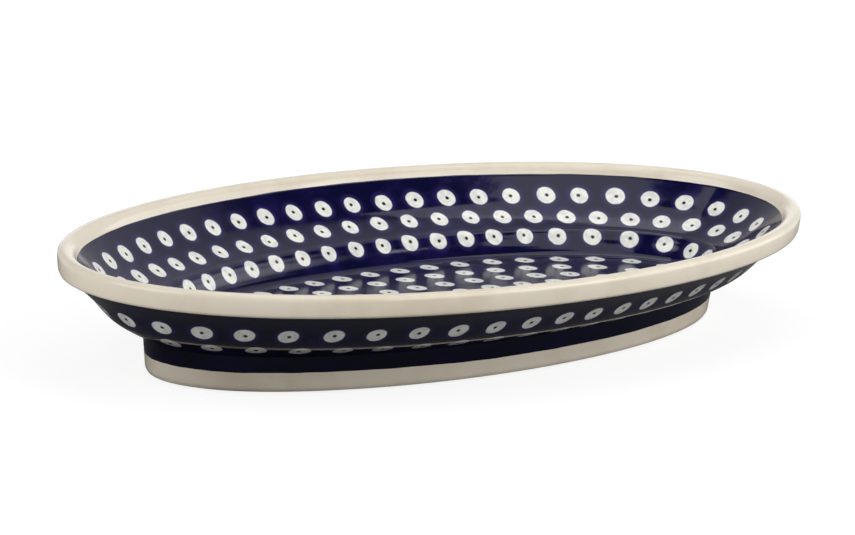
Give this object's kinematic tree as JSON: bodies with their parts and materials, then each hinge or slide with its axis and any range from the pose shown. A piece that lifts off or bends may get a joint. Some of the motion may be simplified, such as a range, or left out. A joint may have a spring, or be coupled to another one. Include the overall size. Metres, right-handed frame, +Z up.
{
  "type": "oval serving platter",
  "caption": "Oval footed serving platter of glazed stoneware with a flared wall, a thick cream rim, cobalt glaze stamped with white eye dots, a flat well and a tapered foot",
  "frame": {"origin": "centre of the oval, on the surface that the foot stands on", "axes": "+X along the length of the oval, +Y across it, +Z up out of the well"},
  "size_m": [0.38, 0.211, 0.049],
  "materials": {
    "clay": "bare fired stoneware, fine grained and matt",
    "cobalt_glaze": "deep cobalt under clear gloss glaze, stamped with white eye dots",
    "cream_glaze": "clear gloss glaze over cream clay"
  },
  "bodies": {
    "root": {"floor_slab": "clay", "wall_flare": "clay", "rim_roll": "clay", "foot_ring": "clay", "well_glaze": "cobalt_glaze", "inner_wall_glaze": "cobalt_glaze", "outer_wall_glaze": "cobalt_glaze", "foot_cobalt_glaze": "cobalt_glaze", "rim_glaze": "cream_glaze", "foot_cream_glaze": "cream_glaze", "underside_glaze": "cream_glaze"}
  },
  "joints": []
}
